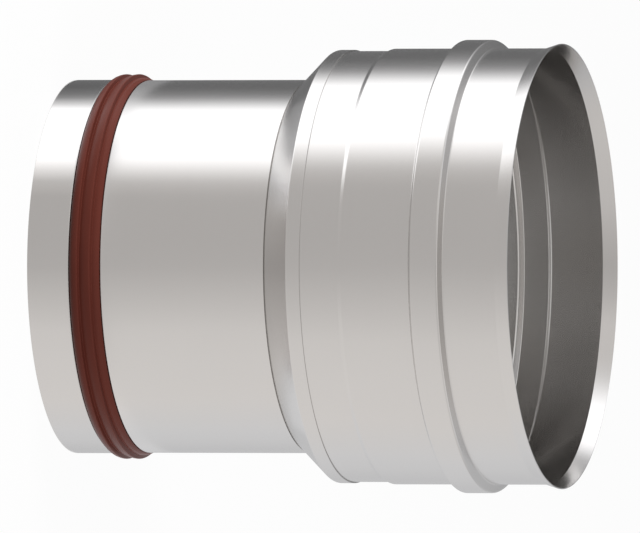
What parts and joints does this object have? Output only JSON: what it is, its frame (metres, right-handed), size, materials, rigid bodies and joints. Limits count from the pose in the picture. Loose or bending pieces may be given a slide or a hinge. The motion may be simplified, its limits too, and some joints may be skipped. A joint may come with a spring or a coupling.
{
  "type": "conical flue adapter",
  "caption": "Round sheet-steel flue adapter: a spigot with a lip seal, a short cone and a wider socket with a raised bead and a flared lip.",
  "frame": {"origin": "bottom centre, in the middle of the spigot's end edge", "axes": "+Z along the adapter's axis, from the spigot's end up to the socket's mouth; it is round, so X and Y are free"},
  "size_m": [0.1576, 0.1576, 0.1751],
  "materials": {
    "stainless_sheet": "smooth rolled sheet with a soft shine",
    "seal_silicone": "satin red-brown silicone"
  },
  "bodies": {
    "root": {"spigot_tube": "stainless_sheet", "reducing_cone": "stainless_sheet", "socket_tube": "stainless_sheet", "spigot_seal": "seal_silicone"}
  },
  "joints": []
}
